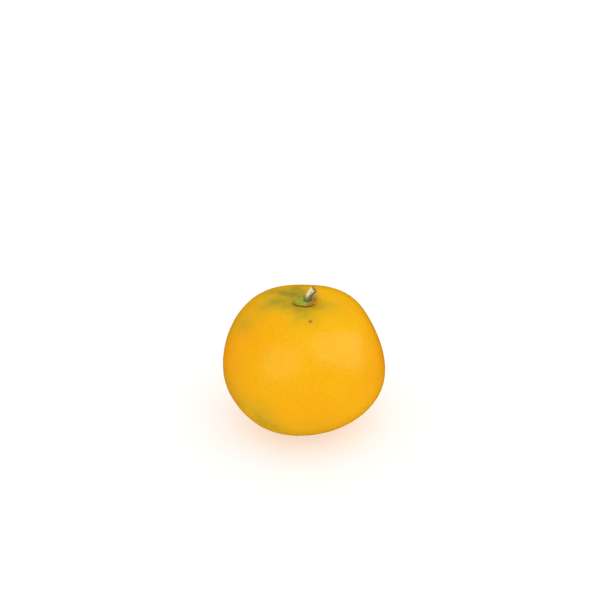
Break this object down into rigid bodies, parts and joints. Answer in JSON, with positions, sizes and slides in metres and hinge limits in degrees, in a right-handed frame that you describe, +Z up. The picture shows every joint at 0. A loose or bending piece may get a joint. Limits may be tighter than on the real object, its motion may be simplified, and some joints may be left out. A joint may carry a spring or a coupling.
{
  "type": "mandarin",
  "caption": "Whole fresh mandarin: a squat, slightly uneven yellow-orange citrus fruit with a green calyx in its stem dimple and a short cut stem.",
  "frame": {"origin": "on the floor, under the middle of the fruit's bounding box", "axes": "+Z up from the blossom end to the stem end; +X towards the side that the stem leans to; -Y is the front seen in the picture"},
  "size_m": [0.0628, 0.062, 0.0596],
  "materials": {
    "rind": "waxy, finely pitted citrus rind, yellow-orange with green tinges, satin gloss",
    "calyx": "dull green, drying to brown at the lobes' edges",
    "stem": "grey-green young bark with a pale side and a brown cut end"
  },
  "bodies": {
    "root": {"fruit": "rind", "calyx": "calyx", "stem": "stem"}
  },
  "joints": []
}
